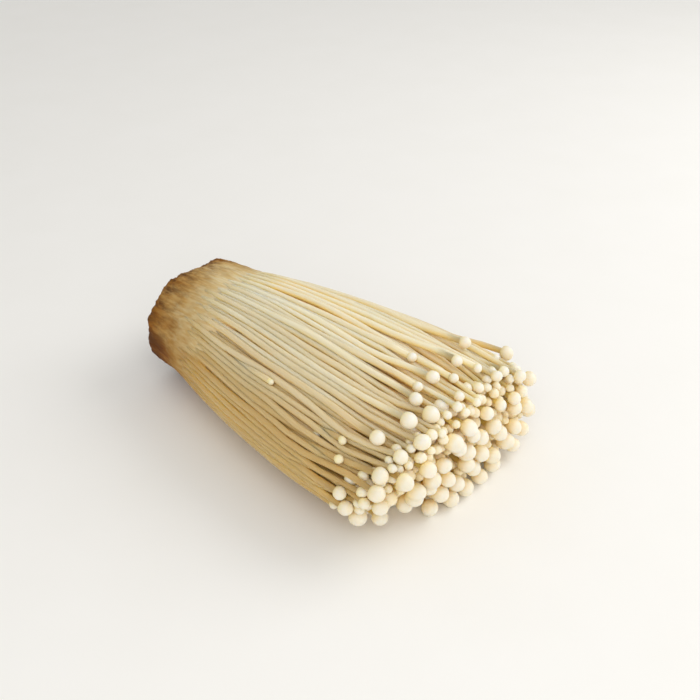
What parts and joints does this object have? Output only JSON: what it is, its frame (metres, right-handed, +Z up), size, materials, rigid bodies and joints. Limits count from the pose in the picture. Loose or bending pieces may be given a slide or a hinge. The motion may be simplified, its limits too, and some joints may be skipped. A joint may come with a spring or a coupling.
{
  "type": "enoki mushroom bunch",
  "caption": "Bunch of fresh enoki mushrooms lying on its side: a brown fused root base with slim pale stems that fan out to small round white caps.",
  "frame": {"origin": "centre of the bunch's outline on the surface it lies on", "axes": "+X along the bunch from the cut root base to the caps, +Y across it, +Z up"},
  "size_m": [0.1496, 0.0956, 0.0471],
  "materials": {
    "root_base": "matte",
    "mushroom": "satin"
  },
  "bodies": {
    "root": {"root_base": "root_base", "mushroom_01": "mushroom", "mushroom_02": "mushroom", "mushroom_03": "mushroom", "mushroom_04": "mushroom", "mushroom_05": "mushroom", "mushroom_06": "mushroom", "mushroom_07": "mushroom", "mushroom_08": "mushroom", "mushroom_09": "mushroom", "mushroom_10": "mushroom", "mushroom_11": "mushroom", "mushroom_12": "mushroom", "mushroom_13": "mushroom", "mushroom_14": "mushroom", "mushroom_15": "mushroom", "mushroom_16": "mushroom", "mushroom_17": "mushroom", "mushroom_18": "mushroom", "mushroom_19": "mushroom", "mushroom_20": "mushroom", "mushroom_21": "mushroom", "mushroom_22": "mushroom", "mushroom_23": "mushroom", "mushroom_24": "mushroom", "mushroom_25": "mushroom", "mushroom_26": "mushroom", "mushroom_27": "mushroom", "mushroom_28": "mushroom", "mushroom_29": "mushroom", "mushroom_30": "mushroom", "mushroom_31": "mushroom", "mushroom_32": "mushroom", "mushroom_33": "mushroom", "mushroom_34": "mushroom", "mushroom_35": "mushroom", "mushroom_36": "mushroom", "mushroom_37": "mushroom", "mushroom_38": "mushroom", "mushroom_39": "mushroom", "mushroom_40": "mushroom", "mushroom_41": "mushroom", "mushroom_42": "mushroom", "mushroom_43": "mushroom", "mushroom_44": "mushroom", "mushroom_45": "mushroom", "mushroom_46": "mushroom", "mushroom_47": "mushroom", "mushroom_48": "mushroom", "mushroom_49": "mushroom", "mushroom_50": "mushroom", "mushroom_51": "mushroom", "mushroom_52": "mushroom", "mushroom_53": "mushroom", "mushroom_54": "mushroom", "mushroom_55": "mushroom", "mushroom_56": "mushroom", "mushroom_57": "mushroom", "mushroom_58": "mushroom"}
  },
  "joints": []
}
